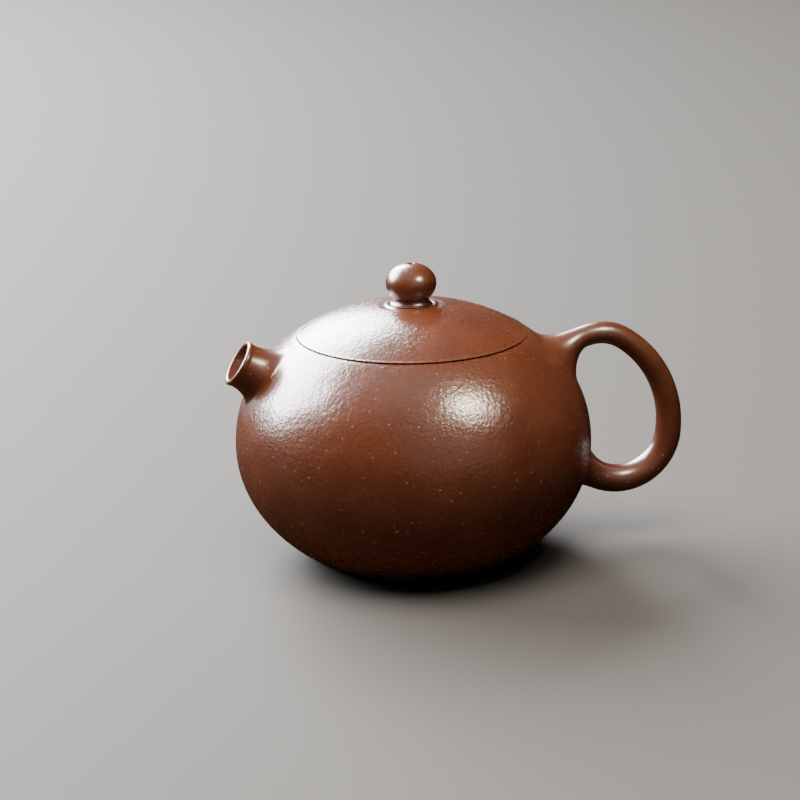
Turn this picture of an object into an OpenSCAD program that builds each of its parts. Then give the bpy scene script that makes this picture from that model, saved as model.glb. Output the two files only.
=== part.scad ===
// Round clay teapot: a near-spherical pot with a short straight spout, a loop handle
// that is thin at the top and thick at the bottom, and a lid cut out of the same curve.
// Millimetres. Origin: centre of the foot, on the table. +Z up, the handle on +X, the
// spout on -X. Every piece is one piece of clay as it is made and joined with slip.

/* [Pot] */
// Largest radius, at the belly
belly_r = 47.5; // [46:0.5:49]
// Height of the belly's widest line above the table
belly_z = 30.6; // [29.6:0.2:31.6]
// Height of the upper curve above the belly line, if it had no knob
dome_h = 38; // [37:0.5:39]
// Depth of the lower curve below the belly line, if it ran to a point
bowl_h = 36.8; // [36:0.2:38]
// Thickness of the beaten wall
wall = 2.8; // [2.4:0.1:3.2]
// Thickness of the base disc
base_t = 3; // [2.6:0.2:3.6]
// Height of the joint between the wall and the shoulder disc
shoulder_z = 56.5; // [56:0.5:57]
// Height of the cut between the pot and the lid
seam_z = 60.2; // [59.8:0.2:60.6]

/* [Foot] */
// Outer radius of the flat ring that stands on the table
foot_r = 25.4; // [24:0.2:26]
// Inner radius of that ring
foot_in_r = 21; // [18:0.5:22]
// Depth of the pressed hollow under the base
foot_hollow = 1.4; // [0.6:0.2:1.6]

/* [Mouth and lid flange] */
// Inner radius of the mouth ring
mouth_r = 27.1; // [26.6:0.1:27.6]
// Radial width of the mouth ring
mouth_w = 2.1; // [1.8:0.1:2.4]
// Lowest height of the mouth ring
mouth_low_z = 54.6; // [53:0.2:55]
// Radial gap between the mouth ring and the lid's flange
lid_gap = 0.3; // [0.25:0.05:0.4]
// Radial thickness of the flange
flange_t = 2.2; // [2:0.1:2.4]
// Depth that the flange reaches below the cut
flange_h = 8.8; // [7:0.2:10]
// Bevel on both edges of the cut, which draws its fine line
seam_bevel = 0.2; // [0.1:0.05:0.3]

/* [Knob] */
// Largest radius of the knob
knob_r = 6.7; // [6:0.1:7.5]
// Height of the knob's widest line
knob_z = 73.9; // [73.5:0.1:74.5]
// Height from the widest line to the top
knob_up = 5.2; // [4.8:0.1:5.8]
// Height from the widest line to where the lower curve would close
knob_down = 5.6; // [5.4:0.1:6]
// Height of the flat seat for the knob's collar on the lid
seat_z = 68.3; // [68.2:0.05:68.4]
// Radius of the collar at its foot
collar_r = 5.9; // [5.5:0.1:6]
// Height of the collar
collar_h = 1.6; // [1.4:0.1:1.8]
// Radius of the air hole through the knob and the lid
vent_r = 0.8; // [0.6:0.1:1]

/* [Spout] */
// Distance of the mouth's centre from the pot's axis
spout_x = 46.7; // [46:0.1:48]
// Height of the mouth's centre
spout_z = 55.4; // [55:0.1:55.8]
// Angle above the horizontal
spout_tilt = 32; // [30:1:34]
// Outer radius at the lip
lip_r = 6.3; // [6:0.1:6.5]
// Outer radius at the narrowest place behind the lip
neck_r = 6.1; // [5.8:0.1:6.2]
// Thickness of the rounded lip
lip_t = 1.3; // [1:0.1:1.5]
// Radius of the bore
bore_r = 4.5; // [4.2:0.1:4.6]
// Radius of the clay spread around the root
root_r = 9; // [8.5:0.1:9.4]

/* [Strainer] */
// Outer radius of the strainer's dome
strainer_r = 6; // [5.6:0.1:6.2]
// Thickness of the strainer
strainer_t = 1.2; // [1:0.1:1.3]
// Radius of each hole
strainer_hole_r = 0.75; // [0.6:0.05:0.8]

/* [Handle] */
// Radius of the round section at the top end, before it spreads
handle_top_r = 2.75; // [2.6:0.05:3]
// Radius of the round section at the lower end, before it spreads
handle_low_r = 4.05; // [3.8:0.05:4.3]
// Extra radius at the top end, inside the wall
top_spread = 5.9; // [5:0.2:6.4]
// Extra radius at the lower end, inside the wall
low_spread = 5.3; // [4.6:0.2:6]

/* [Hidden] */

CLAY = [0.45, 0.20, 0.13];
BURNISHED = [0.50, 0.23, 0.15];
INNER_CLAY = [0.40, 0.18, 0.12];

// The upper curve is a little squarer than an ellipse, which would have a power of 2.
dome_power = 2.15;
curve_steps = 12;
cap_steps = 6;
round_steps = 8;
foot_bevel = 0.8;
ring_round = 0.6;
ring_bevel = 0.3;
flange_round = 0.8;
flange_in_round = 0.5;
flange_r = mouth_r - lid_gap;
flange_in_r = flange_r - flange_t;
flange_z = seam_z - flange_h;
ring_r = mouth_r + mouth_w;
collar_z = seat_z + collar_h;
collar_edge = 0.5;

// Where the spout's middle line crosses the pot's outside and inside, from its mouth
spout_reach = 7.4;
strainer_reach = 10.5;
// Length of the rounded rim at the mouth, and how far clay and cuts run on past the wall
lip_h = 3;
clay_over = 6;
cut_over = 8;
pour_over = 4;
// Angles from the dome's pole where its bands meet, and each ring's angle and its count
strainer_bands = [0, 13, 40, 66, 90];
strainer_rings = [[0, 1], [26.5, 6], [53, 11]];
strainer_skirt = 4;
hole_over = 0.8;
// The pot's surface faces this much upwards under the spout
root_tilt = 38.4;
root_h = 4;
root_dip = 0.8;

// The handle's middle line, in the XZ plane: arcs that run into each other, each with
// its radius and the angles from its centre where it starts and ends.
handle_centre = [52.9, 37];
handle_radii = [20, 12, 29, 13.8, 60];
handle_angles = [140, 100, 57, -6, -115, -127];
handle_steps = [6, 4, 11, 12, 6];
handle_sides = 20;
top_spread_length = 14;
low_spread_length = 13;

// Radius of the pot at height z, on a surface that lies `inset` inside the outside
function shell_r(z, inset = 0) =
    z >= belly_z
    ? (belly_r - inset) * sqrt(1 - pow((z - belly_z) / (dome_h - inset), dome_power))
    : (belly_r - inset) * sqrt(1 - pow((belly_z - z) / (bowl_h - inset), 2));

// Height of the same surface at radius r, on the upper curve
function dome_z(r, inset = 0) =
    belly_z + (dome_h - inset) * pow(1 - pow(r / (belly_r - inset), 2), 1 / dome_power);

// Points of that surface from height a to height b, and from radius a to radius b
function shell_by_height(a, b, steps, inset = 0) =
    [for (i = [0:steps]) let (z = a + (b - a) * i / steps) [shell_r(z, inset), z]];
function dome_by_radius(a, b, steps, inset = 0) =
    [for (i = [0:steps]) let (r = a + (b - a) * i / steps) [r, dome_z(r, inset)]];

// The same for a wall from height a to height b with the widest line between them
function wall_curve(a, b, inset = 0) =
    concat(shell_by_height(a, belly_z, curve_steps, inset),
           shell_by_height(belly_z, b, curve_steps, inset));

// Part of an ellipse's outline, centred on the axis at height z
function oval_arc(r, h, z, from, to, steps) =
    [for (i = [0:steps]) let (a = from + (to - from) * i / steps) [r * cos(a), z + h * sin(a)]];

// Solid of the pot's outside or inside, without the lid: it cuts the pieces that are
// luted on so that they end face to face with the wall.
module pot_solid(inset, top) {
    rotate_extrude($fn = 96)
        polygon(concat([[0, base_t]], wall_curve(base_t, shoulder_z, inset),
                       shell_by_height(shoulder_z, top, cap_steps, inset), [[0, top]]));
}

// Cylinder frame along the spout: the child's +Z points out of the spout, its origin is
// `back` behind the centre of the mouth.
module on_spout_axis(back) {
    translate([-spout_x, 0, spout_z])
        rotate([0, spout_tilt - 90, 0])
            translate([0, 0, -back])
                children();
}

module base_disc() {
    color(CLAY)
        rotate_extrude($fn = 96)
            polygon(concat([for (i = [0:round_steps])
                               let (r = foot_in_r * i / round_steps)
                               [r, foot_hollow * (1 - pow(r / foot_in_r, 2))]],
                           [[foot_r, 0]],
                           shell_by_height(foot_bevel, base_t, cap_steps),
                           [[0, base_t]]));
}

module body_wall() {
    color(CLAY)
        difference() {
            rotate_extrude($fn = 96)
                polygon(concat(wall_curve(base_t, shoulder_z), wall_curve(shoulder_z, base_t, wall)));
            on_spout_axis(strainer_reach + pour_over)
                cylinder(r = bore_r, h = strainer_reach + pour_over, $fn = 48);
        }
}

module shoulder_disc() {
    color(CLAY)
        rotate_extrude($fn = 96)
            polygon(concat(shell_by_height(shoulder_z, seam_z - seam_bevel, cap_steps),
                           [[shell_r(seam_z) - seam_bevel, seam_z], [ring_r, seam_z]],
                           shell_by_height(dome_z(ring_r, wall), shoulder_z, cap_steps, wall)));
}

module mouth_ring() {
    color(CLAY)
        rotate_extrude($fn = 96)
            polygon([[mouth_r, mouth_low_z + ring_round], [mouth_r + ring_round, mouth_low_z],
                     [ring_r - ring_round, mouth_low_z], [ring_r, mouth_low_z + ring_round],
                     [ring_r, seam_z], [mouth_r + ring_bevel, seam_z], [mouth_r, seam_z - ring_bevel]]);
}

module spout() {
    color(BURNISHED)
        difference() {
            union() {
                on_spout_axis(spout_reach + clay_over)
                    spout_tube();
                on_spout_axis(spout_reach)
                    rotate([0, root_tilt - spout_tilt, 0])
                        spout_root();
            }
            on_spout_axis(spout_reach + cut_over)
                cylinder(r = bore_r, h = spout_reach + cut_over - 2 * lip_t, $fn = 48);
            on_spout_axis(2 * lip_t)
                cylinder(r1 = bore_r, r2 = lip_r - lip_t, h = 2 * lip_t, $fn = 48);
            pot_solid(0, seam_z - seam_bevel);
        }
}

// Straight tube with a rounded lip that stands a little proud of its neck
module spout_tube() {
    lip_z = spout_reach + clay_over;
    rotate_extrude($fn = 48)
        polygon(concat([[0, 0], [neck_r, 0], [neck_r, lip_z - lip_h]],
                       [for (i = [0:round_steps])
                           let (a = 90 * i / round_steps)
                           [lip_r - lip_t / 2 * (1 - cos(a)), lip_z - lip_t / 2 * (1 - sin(a))]],
                       [[0, lip_z]]));
}

// Clay spread around the root, hollow-sided, on the pot's own slope
module spout_root() {
    rotate_extrude($fn = 48)
        polygon(concat([[0, -root_h], [root_r, -root_h]],
                       [for (i = [0:round_steps])
                           let (t = i / round_steps)
                           [neck_r + (root_r - neck_r) * pow(1 - t, 2), root_h * t - root_dip]],
                       [[0, root_h - root_dip]]));
}

// Perforated dome over the pour hole, inside the wall, on a short skirt
module strainer() {
    color(INNER_CLAY)
        intersection() {
            on_spout_axis(strainer_reach)
                difference() {
                    strainer_dome(strainer_r);
                    strainer_dome(strainer_r - strainer_t);
                    strainer_holes();
                }
            pot_solid(wall, shoulder_z);
        }
}

// The dome is made of flat-sided bands, each wide enough to hold one ring of holes
module strainer_dome(r) {
    rotate_extrude($fn = 48)
        polygon(concat([for (a = strainer_bands) [r * sin(a), -r * cos(a)]],
                       [[r, strainer_skirt], [0, strainer_skirt]]));
}

// Rings of holes around the one in the middle, all towards the dome's centre
module strainer_holes() {
    for (ring = strainer_rings)
        for (i = [0:ring[1] - 1])
            rotate([0, 0, 360 * i / ring[1]])
                rotate([0, 180 - ring[0], 0])
                    translate([0, 0, strainer_r - strainer_t - hole_over])
                        cylinder(r = strainer_hole_r, h = strainer_t + 2 * hole_over, $fn = 24);
}

// Centre of the handle's arc number k: each arc runs on from the one before
function arc_centre(k) =
    k == 0
    ? handle_centre
    : arc_centre(k - 1) + (handle_radii[k - 1] - handle_radii[k])
        * [cos(handle_angles[k]), sin(handle_angles[k])];

// Rings along the handle: [centre x, centre z, angle of the radius]
handle_path = [
    for (k = [0:len(handle_radii) - 1])
        for (i = [(k == 0 ? 0 : 1):handle_steps[k]])
            let (a = handle_angles[k] + (handle_angles[k + 1] - handle_angles[k]) * i / handle_steps[k],
                 c = arc_centre(k))
            [c[0] + handle_radii[k] * cos(a), c[1] + handle_radii[k] * sin(a), a]
];

// Distance along the handle from its top end to ring i
function run_length(i) =
    i == 0 ? 0 : run_length(i - 1) + norm([handle_path[i][0] - handle_path[i - 1][0],
                                           handle_path[i][1] - handle_path[i - 1][1]]);
handle_length = run_length(len(handle_path) - 1);

// Radius of the section at distance d: it grows steadily, and spreads at both ends
function spread(d, length, extra) = d < length ? extra * pow(1 - d / length, 2) : 0;
function handle_r(d) =
    handle_top_r + (handle_low_r - handle_top_r) * d / handle_length
    + spread(d, top_spread_length, top_spread)
    + spread(handle_length - d, low_spread_length, low_spread);

module handle() {
    color(BURNISHED)
        difference() {
            handle_sweep();
            pot_solid(0, seam_z - seam_bevel);
        }
}

module handle_sweep() {
    rings = len(handle_path);
    points = [
        for (i = [0:rings - 1])
            let (p = handle_path[i], r = handle_r(run_length(i)))
            for (j = [0:handle_sides - 1])
                let (b = 360 * j / handle_sides)
                [p[0] + r * cos(b) * cos(p[2]), r * sin(b), p[1] + r * cos(b) * sin(p[2])]
    ];
    sides = [
        for (i = [0:rings - 2])
            for (j = [0:handle_sides - 1])
                let (k = (j + 1) % handle_sides)
                [i * handle_sides + j, i * handle_sides + k,
                 (i + 1) * handle_sides + k, (i + 1) * handle_sides + j]
    ];
    first_cap = [for (j = [handle_sides - 1:-1:0]) j];
    last_cap = [for (j = [0:handle_sides - 1]) (rings - 1) * handle_sides + j];
    polyhedron(points, concat(sides, [first_cap, last_cap]), convexity = 4);
}

module lid_dome() {
    color(CLAY)
        rotate_extrude($fn = 96)
            polygon(concat([[flange_in_r, seam_z], [shell_r(seam_z) - seam_bevel, seam_z]],
                           shell_by_height(seam_z + seam_bevel, seat_z, curve_steps),
                           [[vent_r, seat_z]],
                           dome_by_radius(vent_r, flange_in_r, curve_steps, wall)));
}

module lid_flange() {
    color(CLAY)
        rotate_extrude($fn = 96)
            polygon([[flange_in_r, seam_z], [flange_in_r, flange_z + flange_in_round],
                     [flange_in_r + flange_in_round, flange_z], [flange_r - flange_round, flange_z],
                     [flange_r, flange_z + flange_round], [flange_r, seam_z]]);
}

// Low round foot under the knob, hollow-sided
module knob_collar() {
    top_r = knob_r * sqrt(1 - pow((knob_z - collar_z) / knob_down, 2));
    color(BURNISHED)
        rotate_extrude($fn = 64)
            polygon(concat([[vent_r, seat_z], [collar_r, seat_z], [collar_r, seat_z + collar_edge]],
                           [for (i = [1:round_steps])
                               let (a = 90 * i / round_steps)
                               [top_r + (collar_r - top_r) * (1 - sin(a)),
                                collar_z - (collar_h - collar_edge) * cos(a)]],
                           [[vent_r, collar_z]]));
}

// Slightly flattened ball with the air hole through it
module knob() {
    low_angle = -asin((knob_z - collar_z) / knob_down);
    top_angle = acos(vent_r / knob_r);
    color(BURNISHED)
        rotate_extrude($fn = 64)
            polygon(concat([[vent_r, collar_z]],
                           oval_arc(knob_r, knob_down, knob_z, low_angle, 0, round_steps),
                           oval_arc(knob_r, knob_up, knob_z, 0, top_angle, curve_steps)));
}

base_disc();
body_wall();
shoulder_disc();
mouth_ring();
spout();
strainer();
handle();
lid_dome();
lid_flange();
knob_collar();
knob();
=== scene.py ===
import math

import bpy
from mathutils import Matrix, Vector


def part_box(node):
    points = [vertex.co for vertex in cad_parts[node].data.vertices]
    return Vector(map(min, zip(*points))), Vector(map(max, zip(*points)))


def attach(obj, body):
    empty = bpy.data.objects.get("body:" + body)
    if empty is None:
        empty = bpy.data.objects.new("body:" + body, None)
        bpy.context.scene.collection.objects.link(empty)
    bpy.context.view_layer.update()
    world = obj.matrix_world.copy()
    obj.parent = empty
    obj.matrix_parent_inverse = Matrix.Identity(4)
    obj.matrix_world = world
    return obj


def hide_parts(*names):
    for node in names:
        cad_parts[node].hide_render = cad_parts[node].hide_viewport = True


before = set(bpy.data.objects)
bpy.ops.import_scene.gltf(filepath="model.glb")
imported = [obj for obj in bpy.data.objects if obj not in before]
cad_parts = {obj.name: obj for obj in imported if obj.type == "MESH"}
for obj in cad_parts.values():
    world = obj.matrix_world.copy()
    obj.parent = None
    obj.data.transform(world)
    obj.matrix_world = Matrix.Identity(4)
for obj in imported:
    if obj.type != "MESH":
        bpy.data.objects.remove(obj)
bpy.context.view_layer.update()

# ---------------------------------------------------------------------------
# Sizes, in millimetres. The pot's curve repeats part.scad's driving values; the
# heights where one piece of clay meets the next come from the frame.
# ---------------------------------------------------------------------------
MM = 0.001


def edge(node, side, axis):
    """The place of a CAD node's low (0) or high (1) side along X, Y or Z (0, 1, 2), in millimetres."""
    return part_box(node)[side][axis] / MM


BELLY_R = 47.5
BELLY_Z = 30.6
DOME_H = 38
BOWL_H = 36.8
DOME_POWER = 2.15
WALL = 2.8

FOOT_R = 25.4
FOOT_IN_R = 21
FOOT_HOLLOW = 1.4
BASE_T = edge("base_disc", 1, 2)
SHOULDER_Z = edge("shoulder_disc", 0, 2)
SEAM_Z = edge("mouth_ring", 1, 2)
RING_LOW_Z = edge("mouth_ring", 0, 2)
RING_R = 29.2
MOUTH_R = 27.1
FLANGE_R = 26.8
FLANGE_IN_R = 24.6
FLANGE_LOW_Z = edge("lid_flange", 0, 2)
SEAT_Z = edge("knob_collar", 0, 2)
COLLAR_TOP_Z = edge("knob_collar", 1, 2)

# The cut between pot and lid: each edge's distance from the seam's height, and its rounding
POT_EDGE_DROP = 0.14
LID_EDGE_RISE = 0.24
SEAM_ROUND = 0.35

# The knob's collar sits in a fine groove in the lid, which dips towards it from DIP_R
COLLAR_R = 5.65
COLLAR_EDGE_H = 0.22
GROOVE_IN_R = 5.25
GROOVE_OUT_R = 5.8
GROOVE_DEPTH = 0.3
DIP_R = 7.3
DIP_DEPTH = 0.22
KNOB_R = 6.7
KNOB_Z = 73.9
KNOB_UP = 5.2
KNOB_DOWN = 5.6
VENT_R = 0.8

SPOUT_MOUTH = Vector((-46.7, 0, 55.4))
SPOUT_TILT = math.radians(32)
LIP_R = 6.3
LIP_T = 1.3
NECK_R = 6.1
BORE_R = 4.5

STRAINER_R = 6
STRAINER_T = 1.2
STRAINER_REACH = 10.5
STRAINER_HOLE_R = 0.75
STRAINER_SKIRT = 2.4
# Rings of holes: tilt from the dome's middle line in degrees, and how many
STRAINER_RINGS = ((0, 1), (26.5, 6), (53, 11))

# The handle's middle line: arcs that run on from each other, from the top root to the lower one
HANDLE_CENTRE = (52.9, 37)
HANDLE_RADII = (20, 12, 29, 13.8, 60)
HANDLE_ANGLES = (140, 100, 57, -6, -115, -127)
HANDLE_TOP_R = 2.75
HANDLE_LOW_R = 4.05

# Points in each ring of a turned piece
AROUND = 288
# A radius below this counts as on the axis
ON_AXIS = 1e-6


# ---------------------------------------------------------------------------
# The pot's curve
# ---------------------------------------------------------------------------
def shell_r(z, inset=0.0):
    """Radius of the pot at height z, on a surface that lies inset inside the outside."""
    if z >= BELLY_Z:
        share = 1 - ((z - BELLY_Z) / (DOME_H - inset)) ** DOME_POWER
    else:
        share = 1 - ((BELLY_Z - z) / (BOWL_H - inset)) ** 2
    return (BELLY_R - inset) * math.sqrt(max(share, 0.0))


def dome_z(r, inset=0.0):
    """Height of that surface at radius r, on the upper curve."""
    share = 1 - (r / (BELLY_R - inset)) ** 2
    return BELLY_Z + (DOME_H - inset) * share ** (1 / DOME_POWER)


def spaced(a, b, steps):
    """steps + 1 evenly spaced numbers from a to b."""
    return [a + (b - a) * i / steps for i in range(steps + 1)]


def shell_by_height(a, b, steps, inset=0.0):
    """Outline points on that surface between two heights."""
    return [(shell_r(z, inset), z) for z in spaced(a, b, steps)]


def dome_by_radius(a, b, steps, inset=0.0):
    """Outline points on the upper curve between two radii."""
    return [(r, dome_z(r, inset)) for r in spaced(a, b, steps)]


def oval_arc(r, h, z, start, end, steps):
    """Part of an ellipse's outline, centred on the axis at height z, angles in degrees."""
    angles = [math.radians(a) for a in spaced(start, end, steps)]
    return [(r * math.cos(a), z + h * math.sin(a)) for a in angles]


def rounded(corners, steps=5):
    """An outline from (r, z, radius) corners: a corner with a radius becomes a smooth bend."""
    points = []
    count = len(corners)
    for i, (r, z, radius) in enumerate(corners):
        here = Vector((r, z))
        if radius == 0:
            points.append((r, z))
            continue
        before = Vector(corners[i - 1][:2]) - here
        after = Vector(corners[(i + 1) % count][:2]) - here
        half = before.angle(after) / 2
        back = min(radius / math.tan(half), 0.49 * before.length, 0.49 * after.length)
        start = here + before.normalized() * back
        end = here + after.normalized() * back
        for t in spaced(0, 1, steps):
            points.append(tuple(start * (1 - t) ** 2 + here * 2 * t * (1 - t) + end * t ** 2))
    return points


def plain(points):
    """Outline points as corners that stay as they are."""
    return [(r, z, 0) for r, z in points]


# Length of the rays that look for the pot's outside, in millimetres, and how finely they look
RAY_REACH = 30.0
RAY_HALVINGS = 48


def spout_point(back, radius=0.0, angle=0.0):
    """A point back from the spout's mouth along its axis, and radius away from it, with angle 0 upwards."""
    out = Vector((-math.cos(SPOUT_TILT), 0, math.sin(SPOUT_TILT)))
    up = Vector((math.sin(SPOUT_TILT), 0, math.cos(SPOUT_TILT)))
    side = Vector((0, 1, 0))
    return SPOUT_MOUTH - out * back + (up * math.cos(angle) + side * math.sin(angle)) * radius


def surface_normal(point):
    """The pot's outward normal at a point on its outside."""
    step = 0.01
    slope = (shell_r(point.z + step) - shell_r(point.z - step)) / (2 * step)
    flat = Vector((point.x, point.y, 0)).normalized()
    return Vector((flat.x, flat.y, -slope)).normalized()


def to_surface(start, direction):
    """Where a ray from start, outside the pot, meets the pot's outside. Halves the distance each time."""
    low, high = 0.0, RAY_REACH
    for _ in range(RAY_HALVINGS):
        middle = (low + high) / 2
        p = start + direction * middle
        if math.hypot(p.x, p.y) > shell_r(p.z):
            low = middle
        else:
            high = middle
    return start + direction * high


# ---------------------------------------------------------------------------
# Meshes
# ---------------------------------------------------------------------------
def grid_faces(rows, columns, closed_rows=False):
    """Quads between rows of points; each row is a closed ring of columns points."""
    faces = []
    for i in range(rows if closed_rows else rows - 1):
        a, b = i * columns, (i + 1) % rows * columns
        for j in range(columns):
            k = (j + 1) % columns
            faces.append((a + j, a + k, b + k, b + j))
    return faces


def lathe(outline, around=AROUND):
    """Points and faces of an outline turned about Z. Points on the axis become one point each."""
    verts, faces, rings = [], [], []
    for r, z in outline:
        if r < ON_AXIS:
            rings.append([len(verts)] * around)
            verts.append(Vector((0, 0, z)))
            continue
        rings.append(list(range(len(verts), len(verts) + around)))
        for j in range(around):
            a = 2 * math.pi * j / around
            verts.append(Vector((r * math.cos(a), r * math.sin(a), z)))
    count = len(rings)
    for i in range(count):
        low, high = rings[i], rings[(i + 1) % count]
        if low[0] == low[1] and high[0] == high[1]:
            continue
        for j in range(around):
            k = (j + 1) % around
            corners = (low[j], low[k], high[k], high[j])
            faces.append(tuple(dict.fromkeys(corners)))
    return verts, faces


def new_mesh(name, verts, faces):
    """An object from points in millimetres."""
    mesh = bpy.data.meshes.new(name)
    mesh.from_pydata([tuple(v * MM) for v in verts], [], faces)
    mesh.validate()
    made = bpy.data.objects.new(name, mesh)
    bpy.context.scene.collection.objects.link(made)
    return made


def turn_outward(mesh):
    """Flips every face if the closed mesh's volume comes out negative."""
    volume = 0.0
    for face in mesh.polygons:
        corners = [mesh.vertices[i].co for i in face.vertices]
        for b, c in zip(corners[1:-1], corners[2:]):
            volume += corners[0].dot(b.cross(c))
    if volume < 0:
        mesh.flip_normals()


def drill(target, cutters):
    """Cuts the cutters out of the target for good, and removes them."""
    for cutter in cutters:
        cut = target.modifiers.new("cut", "BOOLEAN")
        cut.object = cutter
        cut.solver = "EXACT"
    cut_target = target.evaluated_get(bpy.context.evaluated_depsgraph_get())
    shaped = bpy.data.meshes.new_from_object(cut_target)
    target.modifiers.clear()
    target.data = shaped
    for cutter in cutters:
        bpy.data.objects.remove(cutter)


def rod(name, start, end, radius, around=48):
    """A closed round rod between two points, used as a cutter."""
    axis = (end - start).normalized()
    side = axis.cross(Vector((0, 1, 0.3))).normalized()
    other = axis.cross(side)
    verts = []
    for centre in (start, end):
        for j in range(around):
            a = 2 * math.pi * j / around
            verts.append(centre + (side * math.cos(a) + other * math.sin(a)) * radius)
    faces = grid_faces(2, around)
    faces.append(tuple(reversed(range(around))))
    faces.append(tuple(range(around, 2 * around)))
    made = new_mesh(name, verts, faces)
    turn_outward(made.data)
    return made


def finish_piece(piece, body, node, material, crease=35):
    """Shades the piece, gives it its clay, and puts it in the frame."""
    mesh = piece.data
    for face in mesh.polygons:
        face.use_smooth = True
    mesh.set_sharp_from_angle(angle=math.radians(crease))
    mesh.materials.clear()
    mesh.materials.append(material)
    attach(piece, body)
    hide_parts(node)
    return piece


def turned_piece(name, outline, around=AROUND):
    """A closed piece whose (r, z) outline is turned about the pot's axis."""
    piece = new_mesh(name, *lathe(outline, around))
    turn_outward(piece.data)
    return piece


# ---------------------------------------------------------------------------
# Clay
# ---------------------------------------------------------------------------
# Where a Mix node keeps its colours among its sockets
MIX_COLOUR_A = 6
MIX_COLOUR_B = 7
MIX_COLOUR_OUT = 2


class Nodes:
    """Short calls that add shader nodes to one material and wire them."""

    def __init__(self, material):
        self.tree = material.node_tree

    def add(self, kind, inputs=(), **settings):
        """A node with its settings, and its inputs set to values or wired to other nodes' outputs."""
        node = self.tree.nodes.new(kind)
        for key, value in settings.items():
            setattr(node, key, value)
        for key, value in dict(inputs).items():
            if isinstance(value, bpy.types.NodeSocket):
                self.tree.links.new(value, node.inputs[key])
            else:
                node.inputs[key].default_value = value
        return node

    def math(self, operation, a, b=0.0):
        """One operation on two values or outputs."""
        return self.add("ShaderNodeMath", {0: a, 1: b}, operation=operation).outputs[0]

    def noise(self, place, size, detail, roughness):
        """Noise whose features are about size millimetres across."""
        values = {"Vector": place, "Scale": 1 / (size * MM), "Detail": detail, "Roughness": roughness}
        return self.add("ShaderNodeTexNoise", values).outputs["Fac"]

    def ramp(self, value, low, high, out_low=0.0, out_high=1.0):
        """A smooth step from out_low at low to out_high at high."""
        values = {"Value": value, "From Min": low, "From Max": high, "To Min": out_low, "To Max": out_high}
        return self.add("ShaderNodeMapRange", values, interpolation_type="SMOOTHSTEP").outputs["Result"]

    def near(self, place, point, inner, outer):
        """1 within inner millimetres of a point, 0 beyond outer."""
        ends = {0: place, 1: tuple(Vector(point) * MM)}
        apart = self.add("ShaderNodeVectorMath", ends, operation="DISTANCE")
        return self.ramp(apart.outputs["Value"], inner * MM, outer * MM, 1.0, 0.0)

    def blend(self, share, a, b):
        """Colour a turning into colour b as share goes from 0 to 1."""
        node = self.add("ShaderNodeMix", {"Factor": share}, data_type="RGBA")
        for socket, value in ((node.inputs[MIX_COLOUR_A], a), (node.inputs[MIX_COLOUR_B], b)):
            if isinstance(value, bpy.types.NodeSocket):
                self.tree.links.new(value, socket)
            else:
                socket.default_value = (*value, 1.0)
        return node.outputs[MIX_COLOUR_OUT]


# Where fingers and the maker's tool smoothed the clay: (centre, smooth within, plain beyond)
SMOOTHED = (
    ((-42.0, 0, 52.5), 9.5, 14.0),
    ((41.0, 0, 52.0), 9.5, 14.5),
    ((45.5, 0, 20.0), 8.0, 12.0),
    ((0, 0, 69.0), 6.2, 9.5),
)
# The share of its grain that smoothed or burnished clay keeps
SMOOTHED_GRAIN = 0.3

# Colours, scene-linear
CLAY = (0.140, 0.0375, 0.0145)
CLAY_DEEP = (0.105, 0.0270, 0.0100)
CLAY_WARM = (0.172, 0.0485, 0.0190)
SPECK = (0.56, 0.34, 0.20)

# Width of each kind of feature, in millimetres
CLOUD = 14.0
MOTTLE = 1.1
FINE_GRAIN = 0.55
PEEL = 1.15
WAVE = 9.0
WAVE_HEIGHT = 0.25
SPECK_SPACING = 1.75

CLAY_IOR = 1.6
# How far the mottling takes the roughness below and above its middle, and what smoothing adds
ROUGH_BELOW = 0.01
ROUGH_ABOVE = 0.015
SMOOTHED_ROUGH = 0.03


def clay_colour(nodes, place, mottle):
    """Slow clouds, fine mottling and sparse pale specks of sand."""
    clouds = nodes.ramp(nodes.noise(place, CLOUD, 3.0, 0.55), 0.35, 0.65)
    tone = nodes.blend(clouds, CLAY_DEEP, CLAY_WARM)
    tone = nodes.blend(0.55, tone, CLAY)
    tone = nodes.blend(nodes.math("MULTIPLY", mottle, 0.22), tone, CLAY_DEEP)
    cells = nodes.add("ShaderNodeTexVoronoi", {"Vector": place, "Scale": 1 / (SPECK_SPACING * MM)})
    size = nodes.ramp(cells.outputs["Color"], 0.0, 1.0, 0.05, 0.16)
    speck = nodes.ramp(nodes.math("DIVIDE", cells.outputs["Distance"], size), 0.6, 1.0, 0.85, 0.0)
    return nodes.blend(speck, tone, SPECK)


def clay_height(nodes, place, grain, grain_share):
    """Fine grain, a soft orange-peel and the slow waves that beating leaves."""
    fine = nodes.math("MULTIPLY", nodes.noise(place, FINE_GRAIN, 2.0, 0.6), 0.45 * grain * MM)
    peel = nodes.math("MULTIPLY", nodes.noise(place, PEEL, 2.0, 0.55), grain * MM)
    wave = nodes.math("MULTIPLY", nodes.noise(place, WAVE, 1.0, 0.4), WAVE_HEIGHT * MM)
    height = nodes.math("MULTIPLY", nodes.math("ADD", fine, peel), grain_share)
    return nodes.math("ADD", height, wave)


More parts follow.
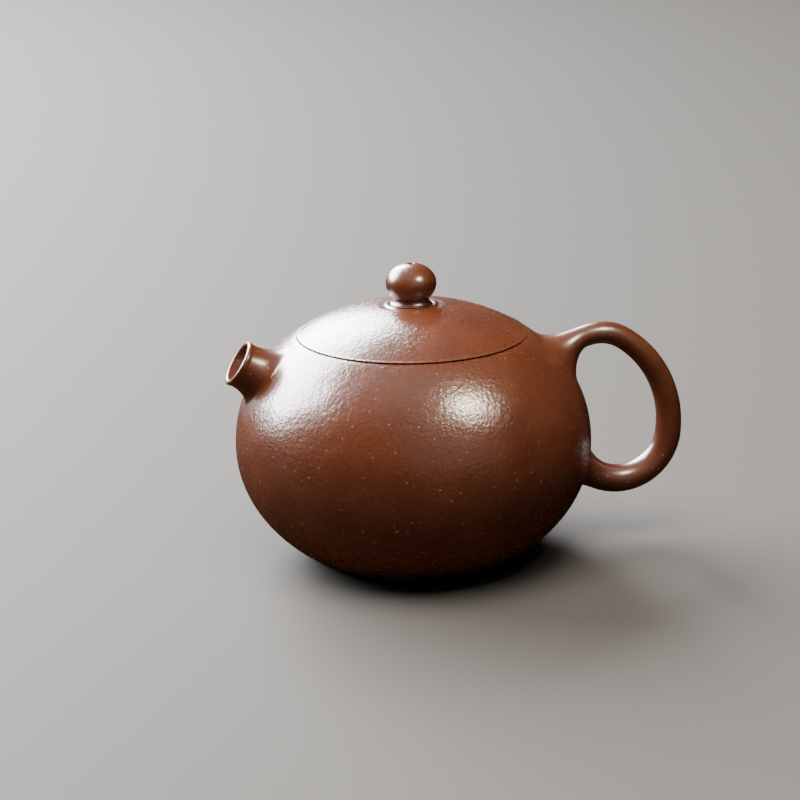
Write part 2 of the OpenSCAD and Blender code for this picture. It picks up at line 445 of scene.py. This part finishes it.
def clay(name, gloss, grain, burnished=False):
    """Fired clay. gloss is its roughness, grain the height of its grain in millimetres."""
    material = bpy.data.materials.new(name)
    material.use_nodes = True
    nodes = Nodes(material)
    shader = nodes.tree.nodes["Principled BSDF"]
    place = nodes.add("ShaderNodeTexCoord").outputs["Object"]
    mottle = nodes.ramp(nodes.noise(place, MOTTLE, 3.0, 0.6), 0.3, 0.7)
    rough = nodes.ramp(mottle, 0.0, 1.0, gloss - ROUGH_BELOW, gloss + ROUGH_ABOVE)
    grain_share = SMOOTHED_GRAIN

    if not burnished:
        smooth = 0.0
        for centre, inner, outer in SMOOTHED:
            smooth = nodes.math("MAXIMUM", smooth, nodes.near(place, centre, inner, outer))
        grain_share = nodes.ramp(smooth, 0.0, 1.0, 1.0, SMOOTHED_GRAIN)
        rough = nodes.math("ADD", rough, nodes.math("MULTIPLY", smooth, SMOOTHED_ROUGH))

    bump = nodes.add("ShaderNodeBump", {"Height": clay_height(nodes, place, grain, grain_share),
                                        "Distance": 1.0, "Strength": 1.0})
    nodes.tree.links.new(clay_colour(nodes, place, mottle), shader.inputs["Base Color"])
    nodes.tree.links.new(bump.outputs["Normal"], shader.inputs["Normal"])
    nodes.tree.links.new(rough, shader.inputs["Roughness"])
    shader.inputs["IOR"].default_value = CLAY_IOR
    return material


BODY_CLAY = clay("clay_satin", gloss=0.262, grain=0.12)
INNER_CLAY = clay("clay_inner", gloss=0.58, grain=0.095)
BURNISHED_CLAY = clay("clay_burnished", gloss=0.30, grain=0.10, burnished=True)
COLLAR_CLAY = clay("clay_collar", gloss=0.37, grain=0.10, burnished=True)
KNOB_CLAY = clay("clay_knob", gloss=0.265, grain=0.10, burnished=True)


# ---------------------------------------------------------------------------
# The pot: turned pieces
# ---------------------------------------------------------------------------
def make_base_disc():
    hollow = [(r, FOOT_HOLLOW * (1 - (r / FOOT_IN_R) ** 2)) for r in spaced(0, FOOT_IN_R - 1, 20)]
    heel_z = 0.9
    corners = plain(hollow)
    corners += [(FOOT_IN_R, 0, 0.8), (FOOT_R, 0, 1.1), (shell_r(heel_z), heel_z, 0.6)]
    corners += plain(shell_by_height(heel_z + 0.5, BASE_T, 6))
    corners += [(0, BASE_T, 0)]
    piece = turned_piece("base_disc_clay", rounded(corners, 8))
    return finish_piece(piece, "pot", "base_disc", BODY_CLAY)


def make_body_wall():
    outline = shell_by_height(BASE_T, SHOULDER_Z, 96) + shell_by_height(SHOULDER_Z, BASE_T, 64, WALL)
    piece = turned_piece("body_wall_clay", outline)
    drill(piece, [rod("pour_hole", spout_point(4), spout_point(14), BORE_R - 0.1)])
    return finish_piece(piece, "pot", "body_wall", BODY_CLAY)


def make_shoulder_disc():
    edge_z = SEAM_Z - POT_EDGE_DROP
    corners = plain(shell_by_height(SHOULDER_Z, SEAM_Z - 0.5, 10))
    corners += [(shell_r(SEAM_Z), edge_z, SEAM_ROUND), (RING_R, edge_z, 0)]
    corners += plain(shell_by_height(dome_z(RING_R, WALL), SHOULDER_Z, 6, WALL))
    piece = turned_piece("shoulder_disc_clay", rounded(corners))
    return finish_piece(piece, "pot", "shoulder_disc", BODY_CLAY)


def make_mouth_ring():
    corners = [(MOUTH_R, RING_LOW_Z, 0.7), (RING_R, RING_LOW_Z, 0.7),
               (RING_R, SEAM_Z, 0), (MOUTH_R, SEAM_Z, 0.4)]
    piece = turned_piece("mouth_ring_clay", rounded(corners, 6))
    return finish_piece(piece, "pot", "mouth_ring", INNER_CLAY)


# ---------------------------------------------------------------------------
# The spout, the strainer and the handle
# ---------------------------------------------------------------------------
def hermite(a, b, leave, arrive, t):
    """A point on the cubic from a to b that leaves along one vector and arrives along the other."""
    return (a * (2 * t ** 3 - 3 * t ** 2 + 1) + leave * (t ** 3 - 2 * t ** 2 + t)
            + b * (3 * t ** 2 - 2 * t ** 3) + arrive * (t ** 3 - t ** 2))


# How far a root's curve may run along the pot's surface, as a multiple of the root's spread
ROOT_TUCK = 3.2
# How far a root's edge lies inside the pot's surface, so that no gap shows
FOOT_DEPTH = 0.012


def root_rows(ring, leave, feet, outward, pull, steps):
    """Rows of points from a ring down to its feet on the pot, which meet the pot's surface tangentially.

    leave is the way in which the ring runs on, outward the way in which each foot heads away on the pot.
    """
    rows = []
    for t in spaced(0, 1, steps)[1:]:
        row = []
        for start, foot, away in zip(ring, feet, outward):
            length = (foot - start).length * pull
            tuck = min(length, ROOT_TUCK * (foot - to_surface(start, leave)).length)
            row.append(hermite(start, foot, leave * length, away * tuck, t))
        rows.append(row)
    return rows


def feet_on_pot(starts, direction, around):
    """Where rays meet the pot, the way along its surface away from the root, and its normal there."""
    feet, outward, normals = [], [], []
    for start, from_centre in zip(starts, around):
        hit = to_surface(start, direction)
        normal = surface_normal(hit)
        feet.append(hit - normal * FOOT_DEPTH)
        outward.append((from_centre - normal * from_centre.dot(normal)).normalized())
        normals.append(normal)
    return feet, outward, normals


def spread_at(angle, reach, power):
    """A root's reach on the pot at an angle, from its (at the sides, lean, at both ends) values."""
    sides, lean, ends = reach
    return sides + lean * math.cos(angle) + ends * math.cos(angle) ** power


def buried_rows(feet, normals, centre):
    """Two rows that close a root inside the wall, where nothing shows."""
    rows = []
    for depth, pinch in ((0.8, 0.12), (1.6, 0.5)):
        rows.append([(foot - normal * depth).lerp(centre - normal * depth, pinch)
                     for foot, normal in zip(feet, normals)])
    return rows


SPOUT_AROUND = 128
# How far behind the mouth the spout starts to spread into its root
SPOUT_BLEND_START = 1.9
# Reach of the root on the pot: at the sides, more at the top than below, more at both than at the sides
SPOUT_REACH = (7.7, 0.7, 2.2)


def spout_ring(back, radius):
    """A ring of points about the spout's axis, a distance back from its mouth."""
    return [spout_point(back, radius, 2 * math.pi * j / SPOUT_AROUND) for j in range(SPOUT_AROUND)]


def spout_bore_rows(inward):
    """The bore, from where it passes the wall out to the start of the lip."""
    wall_end = [to_surface(start, inward) + inward * 0.5 for start in spout_ring(-1, BORE_R)]
    flare = LIP_R - LIP_T - BORE_R
    rows = [wall_end]
    rows += [spout_ring(back, BORE_R) for back in (5.5, 4.5, 3.5)]
    rows += [spout_ring(back, BORE_R + flare * t ** 2) for back, t in ((2.8, 0.3), (2.0, 0.6), (1.3, 0.85))]
    return rows


def spout_lip_rows():
    """The half-round lip, and the neck behind it."""
    half = LIP_T / 2
    turns = [math.radians(a) for a in spaced(180, 0, 14)]
    rows = [spout_ring(half * (1 - math.sin(a)), LIP_R - half + half * math.cos(a)) for a in turns]
    for t in spaced(0, 1, 6)[1:]:
        drop = (LIP_R - NECK_R) * (3 * t ** 2 - 2 * t ** 3)
        rows.append(spout_ring(half + (SPOUT_BLEND_START - half) * t, LIP_R - drop))
    return rows


def make_spout():
    inward = (spout_point(1) - spout_point(0)).normalized()
    angles = [2 * math.pi * j / SPOUT_AROUND for j in range(SPOUT_AROUND)]
    starts = [spout_point(-2, spread_at(a, SPOUT_REACH, 4), a) for a in angles]
    around = [spout_point(0, 1, a) - spout_point(0) for a in angles]
    feet, outward, normals = feet_on_pot(starts, inward, around)

    rows = spout_bore_rows(inward) + spout_lip_rows()
    rows += root_rows(rows[-1], inward, feet, outward, pull=0.95, steps=22)
    # the last row closes the skin inside the wall, between the root and the bore
    rows.append([(foot - normal * 0.9).lerp(end, 0.3) for foot, normal, end in zip(feet, normals, rows[0])])
    verts = [p for row in rows for p in row]
    piece = new_mesh("spout_clay", verts, grid_faces(len(rows), SPOUT_AROUND, closed_rows=True))
    turn_outward(piece.data)
    return finish_piece(piece, "pot", "spout", BURNISHED_CLAY, crease=50)


def strainer_hole(tilt, turn):
    """A cutter through the strainer's dome, tilted from its middle line and then turned about it."""
    tilted = Matrix.Rotation(math.radians(tilt), 3, "Y") @ Vector((0, 0, -1))
    way = Matrix.Rotation(turn, 3, "Z") @ tilted
    start = way * (STRAINER_R - STRAINER_T - 0.6)
    return rod("strainer_hole", start, way * (STRAINER_R + 0.6), STRAINER_HOLE_R, 20)


def make_strainer():
    in_r = STRAINER_R - STRAINER_T
    outside = [(0, -STRAINER_R)] + oval_arc(STRAINER_R, STRAINER_R, 0, -90, 0, 24)[1:]
    inside = oval_arc(in_r, in_r, 0, 0, -90, 20)[:-1] + [(0, -in_r)]
    skirt = [(STRAINER_R, STRAINER_SKIRT), (in_r, STRAINER_SKIRT)]
    piece = turned_piece("strainer_clay", outside + skirt + inside, 96)
    drill(piece, [strainer_hole(tilt, 2 * math.pi * i / count)
                  for tilt, count in STRAINER_RINGS for i in range(count)])
    lean = Matrix.Rotation(SPOUT_TILT - math.pi / 2, 4, "Y")
    piece.data.transform(Matrix.Translation(spout_point(STRAINER_REACH) * MM) @ lean)
    return finish_piece(piece, "pot", "strainer", INNER_CLAY)


def handle_arc_centre(k):
    """Centre of the handle's arc number k: each arc runs on from the one before."""
    if k == 0:
        return Vector(HANDLE_CENTRE)
    a = math.radians(HANDLE_ANGLES[k])
    shift = HANDLE_RADII[k - 1] - HANDLE_RADII[k]
    return handle_arc_centre(k - 1) + Vector((math.cos(a), math.sin(a))) * shift


def handle_path(spacing=0.6):
    """Points along the handle's middle line: (centre, direction of the outer side, distance run)."""
    path, run = [], 0.0
    for k, radius in enumerate(HANDLE_RADII):
        start, end = HANDLE_ANGLES[k], HANDLE_ANGLES[k + 1]
        length = radius * math.radians(start - end)
        steps = max(2, round(length / spacing))
        centre = handle_arc_centre(k)
        for t in spaced(0, 1, steps)[0 if k == 0 else 1:]:
            a = math.radians(start + (end - start) * t)
            outer = Vector((math.cos(a), 0, math.sin(a)))
            middle = Vector((centre.x, 0, centre.y)) + outer * radius
            path.append((middle, outer, run + length * t))
        run += length
    return path, run


HANDLE_AROUND = 72
# Each root: where it starts and where its foot's middle lies, from that end of the path, and its
# reach on the pot: at the sides, more outside than inside, more at both than at the sides
TOP_ROOT_START = 11.6
TOP_ROOT_FOOT = 4.2
TOP_ROOT_REACH = (8.7, -0.8, 0.6)
LOW_ROOT_START = 13.0
LOW_ROOT_FOOT = 5.4
LOW_ROOT_REACH = (7.2, -1.8, 0.4)


def make_handle():
    path, length = handle_path()
    angles = [2 * math.pi * j / HANDLE_AROUND for j in range(HANDLE_AROUND)]
    side = Vector((0, 1, 0))

    def section(point):
        """The handle's round section at a point of its path."""
        middle, outer, run = point
        radius = HANDLE_TOP_R + (HANDLE_LOW_R - HANDLE_TOP_R) * run / length
        return [middle + (outer * math.cos(a) + side * math.sin(a)) * radius for a in angles]

    def nearest(run):
        """Index of the path's point nearest to a distance run."""
        return min(range(len(path)), key=lambda i: abs(path[i][2] - run))

    def root(begin, foot_run, to_pot, reach):
        """Rows from the section at path index begin down to the pot, and on inside its wall."""
        middle, outer, _ = path[nearest(foot_run)]
        into = outer.cross(side) * to_pot
        outside = middle - into * 14
        around = [outer * math.cos(a) + side * math.sin(a) for a in angles]
        starts = [outside + way * spread_at(a, reach, 2) for way, a in zip(around, angles)]
        feet, outward, normals = feet_on_pot(starts, into, around)
        leave = path[begin][1].cross(side) * to_pot
        rows = root_rows(section(path[begin]), leave, feet, outward, pull=0.9, steps=26)
        return rows + buried_rows(feet, normals, to_surface(outside, into))

    top_begin = nearest(TOP_ROOT_START)
    low_begin = nearest(length - LOW_ROOT_START)
    top = root(top_begin, TOP_ROOT_FOOT, 1, TOP_ROOT_REACH)
    low = root(low_begin, length - LOW_ROOT_FOOT, -1, LOW_ROOT_REACH)
    rows = list(reversed(top)) + [section(p) for p in path[top_begin:low_begin + 1]] + low
    verts = [p for row in rows for p in row]
    faces = grid_faces(len(rows), HANDLE_AROUND)
    last = (len(rows) - 1) * HANDLE_AROUND
    faces.append(tuple(reversed(range(HANDLE_AROUND))))
    faces.append(tuple(range(last, last + HANDLE_AROUND)))
    piece = new_mesh("handle_clay", verts, faces)
    turn_outward(piece.data)
    return finish_piece(piece, "pot", "handle", BURNISHED_CLAY, crease=60)


# ---------------------------------------------------------------------------
# The lid
# ---------------------------------------------------------------------------
def make_lid_dome():
    edge_z = SEAM_Z + LID_EDGE_RISE
    groove_z = SEAT_Z - GROOVE_DEPTH
    curve_start_z = SEAM_Z + 0.9
    corners = [(FLANGE_IN_R, SEAM_Z, 0), (RING_R, SEAM_Z, 0), (RING_R, edge_z, 0),
               (shell_r(SEAM_Z), edge_z, SEAM_ROUND)]
    corners += plain(shell_by_height(SEAM_Z + 0.55, curve_start_z, 3))
    corners += plain(dome_by_radius(shell_r(curve_start_z), DIP_R + 1.5, 72))[1:]
    corners += [(DIP_R, dome_z(DIP_R) - DIP_DEPTH, 5.0), (GROOVE_OUT_R + 0.65, SEAT_Z + 0.04, 0.5),
                (GROOVE_OUT_R, SEAT_Z - 0.02, 0.15), (GROOVE_OUT_R, groove_z, 0),
                (GROOVE_IN_R, groove_z, 0), (GROOVE_IN_R, SEAT_Z, 0), (VENT_R, SEAT_Z, 0)]
    corners += plain(dome_by_radius(VENT_R, FLANGE_IN_R, 40, WALL))
    piece = turned_piece("lid_dome_clay", rounded(corners))
    return finish_piece(piece, "lid", "lid_dome", BODY_CLAY)


def make_lid_flange():
    corners = [(FLANGE_IN_R, SEAM_Z, 0), (FLANGE_IN_R, FLANGE_LOW_Z, 0.6),
               (FLANGE_R, FLANGE_LOW_Z, 0.9), (FLANGE_R, SEAM_Z, 0)]
    piece = turned_piece("lid_flange_clay", rounded(corners, 8))
    return finish_piece(piece, "lid", "lid_flange", INNER_CLAY)


def knob_low_r():
    """Radius at which the knob's lower curve meets its collar."""
    return KNOB_R * math.sqrt(1 - ((KNOB_Z - COLLAR_TOP_Z) / KNOB_DOWN) ** 2)


def make_knob_collar():
    top_r = knob_low_r()
    drop = COLLAR_TOP_Z - SEAT_Z - COLLAR_EDGE_H
    # the collar's edge hangs a hair above the groove
    under_z = SEAT_Z + 0.08
    bend = [(top_r + (COLLAR_R - top_r) * (1 - math.sin(a)), COLLAR_TOP_Z - drop * math.cos(a))
            for a in [math.radians(b) for b in spaced(10, 90, 16)]]
    corners = [(VENT_R, SEAT_Z, 0), (GROOVE_IN_R, SEAT_Z, 0), (GROOVE_IN_R, under_z, 0),
               (COLLAR_R, under_z, 0.12)]
    corners += plain(bend) + [(VENT_R, COLLAR_TOP_Z, 0)]
    piece = turned_piece("knob_collar_clay", rounded(corners, 6), 128)
    return finish_piece(piece, "lid", "knob_collar", COLLAR_CLAY, crease=60)


def make_knob():
    low_angle = -math.degrees(math.asin((KNOB_Z - COLLAR_TOP_Z) / KNOB_DOWN))
    # the air hole's rounded rim starts just beside it and lies just below the knob's top
    rim_r = VENT_R + 0.45
    rim_z = KNOB_Z + KNOB_UP - 0.06
    top_angle = math.degrees(math.acos(rim_r / KNOB_R))
    corners = [(VENT_R, COLLAR_TOP_Z, 0)]
    corners += plain(oval_arc(KNOB_R, KNOB_DOWN, KNOB_Z, low_angle, 0, 28))
    corners += plain(oval_arc(KNOB_R, KNOB_UP, KNOB_Z, 2.5, top_angle, 34))
    corners += [(VENT_R, rim_z, 0.35), (VENT_R, rim_z - 1.5, 0)]
    piece = turned_piece("knob_clay", rounded(corners, 6), 128)
    return finish_piece(piece, "lid", "knob", KNOB_CLAY, crease=60)


# ---------------------------------------------------------------------------
# Stage: floor, lights and camera, in metres
# ---------------------------------------------------------------------------
FLOOR_HALF = 1.8
FLOOR_COLOUR = (0.094, 0.086, 0.076, 1)
BACKDROP_COLOUR = (0.92, 0.90, 0.87, 1)
BACKDROP_STRENGTH = 0.45

LIGHT_TARGET = Vector((0, 0, 0.035))
# A window stands behind the pot on the left
WINDOW_WAY = (-0.481, 0.687, 0.545)
WINDOW_DISTANCE = 2.0
WINDOW_SIZE = (2.5, 1.3)

# Each light: name, direction from the target, distance, width and height, watts, colour.
# The shine lights only show in reflections: the window, a small warm lamp on the right, and the
# bright room behind the camera. The fill lights only light the clay's colour and the floor.
SHINE_LIGHTS = (
    ("window_shine", WINDOW_WAY, WINDOW_DISTANCE, WINDOW_SIZE, 800, (0.98, 0.98, 1.0)),
    ("lamp_shine", (0.36, -0.475, 0.70), 0.31, (0.04, 0.04), 1.7, (1.0, 0.84, 0.66)),
    ("room_shine", (0.199, -0.860, 0.469), 2.0, (2.1, 1.85), 5.5, (0.92, 0.97, 1.0)),
)
FILL_LIGHTS = (
    ("window_fill", WINDOW_WAY, WINDOW_DISTANCE, WINDOW_SIZE, 130, (1.0, 0.98, 0.95)),
    ("front_fill", (-0.12, -0.20, 0.97), 1.2, (0.9, 0.9), 31, (1.0, 0.95, 0.90)),
)

# The camera looks at the aim from a place given about the pot's axis at the height of the belly
CAMERA_AIM = Vector((-3.46, 0, 41.96)) * MM
CAMERA_DISTANCE = 0.6175
CAMERA_AZIMUTH = math.radians(-11.3)
CAMERA_ELEVATION = math.radians(17.64)
CAMERA_ROLL = math.radians(0.935)
CAMERA_LENS = 103.7
CAMERA_SENSOR = 36


def make_floor():
    mesh = bpy.data.meshes.new("floor")
    corners = [(x * FLOOR_HALF, y * FLOOR_HALF, 0) for x, y in ((-1, -1), (1, -1), (1, 1), (-1, 1))]
    mesh.from_pydata(corners, [], [(0, 1, 2, 3)])
    floor = bpy.data.objects.new("floor", mesh)
    bpy.context.scene.collection.objects.link(floor)
    material = bpy.data.materials.new("pale_floor")
    material.use_nodes = True
    shader = material.node_tree.nodes["Principled BSDF"]
    shader.inputs["Base Color"].default_value = FLOOR_COLOUR
    shader.inputs["Roughness"].default_value = 0.8
    shader.inputs["Specular IOR Level"].default_value = 0.2
    mesh.materials.append(material)
    # a pale floor mirrored in the lower belly would wash out the clay
    floor.visible_glossy = False


def make_backdrop():
    """A pale world that the camera sees and that lights nothing."""
    world = bpy.data.worlds.new("studio")
    bpy.context.scene.world = world
    world.use_nodes = True
    background = world.node_tree.nodes["Background"]
    background.inputs["Color"].default_value = BACKDROP_COLOUR
    background.inputs["Strength"].default_value = BACKDROP_STRENGTH
    world.cycles_visibility.diffuse = False
    world.cycles_visibility.glossy = False


def soft_light(name, direction, distance, size, power, colour):
    """A rectangular soft light that faces the target."""
    data = bpy.data.lights.new(name, "AREA")
    data.shape = "RECTANGLE"
    data.size, data.size_y = size
    data.energy = power
    data.color = colour
    light = bpy.data.objects.new(name, data)
    way = Vector(direction).normalized()
    light.location = LIGHT_TARGET + way * distance
    light.rotation_mode = "QUATERNION"
    light.rotation_quaternion = way.to_track_quat("Z", "Y")
    bpy.context.scene.collection.objects.link(light)
    return light


def make_lights():
    for values in SHINE_LIGHTS:
        light = soft_light(*values)
        light.visible_diffuse = False
        light.visible_camera = False
    for values in FILL_LIGHTS:
        light = soft_light(*values)
        light.visible_glossy = False


def make_camera():
    level = math.cos(CAMERA_ELEVATION)
    back = Vector((math.sin(CAMERA_AZIMUTH) * level, -math.cos(CAMERA_AZIMUTH) * level,
                   math.sin(CAMERA_ELEVATION)))
    data = bpy.data.cameras.new("camera")
    data.lens = CAMERA_LENS
    data.sensor_width = CAMERA_SENSOR
    data.clip_start = 0.05
    camera = bpy.data.objects.new("camera", data)
    camera.location = Vector((0, 0, BELLY_Z)) * MM + back * CAMERA_DISTANCE
    look = (CAMERA_AIM - camera.location).normalized()
    roll = Matrix.Rotation(CAMERA_ROLL, 4, look).to_quaternion()
    camera.rotation_mode = "QUATERNION"
    camera.rotation_quaternion = roll @ look.to_track_quat("-Z", "Y")
    bpy.context.scene.collection.objects.link(camera)
    bpy.context.scene.camera = camera


make_camera()
make_floor()
make_backdrop()
make_lights()
make_base_disc()
make_body_wall()
make_shoulder_disc()
make_mouth_ring()
make_spout()
make_strainer()
make_handle()
make_lid_dome()
make_lid_flange()
make_knob_collar()
make_knob()
